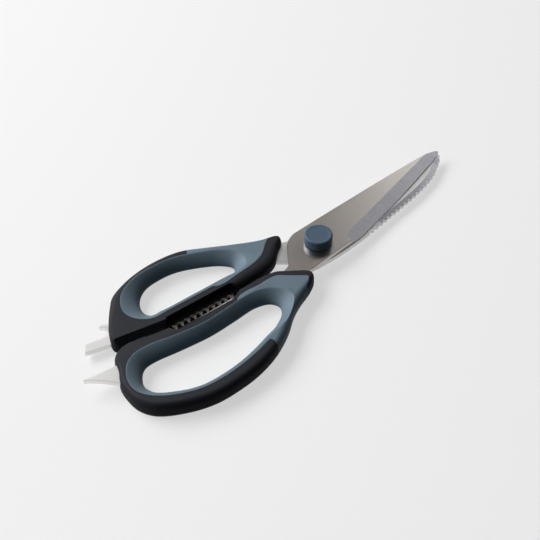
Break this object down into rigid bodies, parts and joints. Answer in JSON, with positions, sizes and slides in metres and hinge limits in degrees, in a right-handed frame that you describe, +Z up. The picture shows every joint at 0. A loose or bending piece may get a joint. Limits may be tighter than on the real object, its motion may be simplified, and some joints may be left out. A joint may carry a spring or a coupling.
{
  "type": "utility shears",
  "caption": "Kitchen shears with full-tang steel blades, two-material looped handles, a nut cracker between them, a fish scaler on the back of the lower blade and a capped pivot.",
  "frame": {"origin": "on the pivot axis, at the underside of the pivot bolt's head, which is also the plane the closed shears lie on", "axes": "+X from the pivot to the tip of the closed blades, +Y to the thumb side, +Z up along the pivot axis to the cap"},
  "size_m": [0.2222, 0.0812, 0.012],
  "materials": {
    "blade_steel": "satin, brushed lengthwise, with cross-ground bevels",
    "hard_plastic": "fine moulded texture",
    "soft_grip": "soft matt overmould",
    "pivot_steel": "turned",
    "cap_plastic": "smooth satin"
  },
  "bodies": {
    "lower_half": {"lower_blade": "blade_steel", "thumb_handle_core": "hard_plastic", "thumb_handle_grip": "soft_grip", "pivot_bolt": "pivot_steel", "pivot_washer": "pivot_steel", "pivot_nut": "pivot_steel", "pivot_cap": "cap_plastic"},
    "upper_half": {"upper_blade": "blade_steel", "finger_handle_core": "hard_plastic", "finger_handle_grip": "soft_grip"}
  },
  "joints": [
    {"name": "blade_pivot", "type": "hinge", "parent": "lower_half", "child": "upper_half", "pos_m": [0, 0, 0], "axis": [0, 0, 1], "range_deg": [0, 85]}
  ]
}
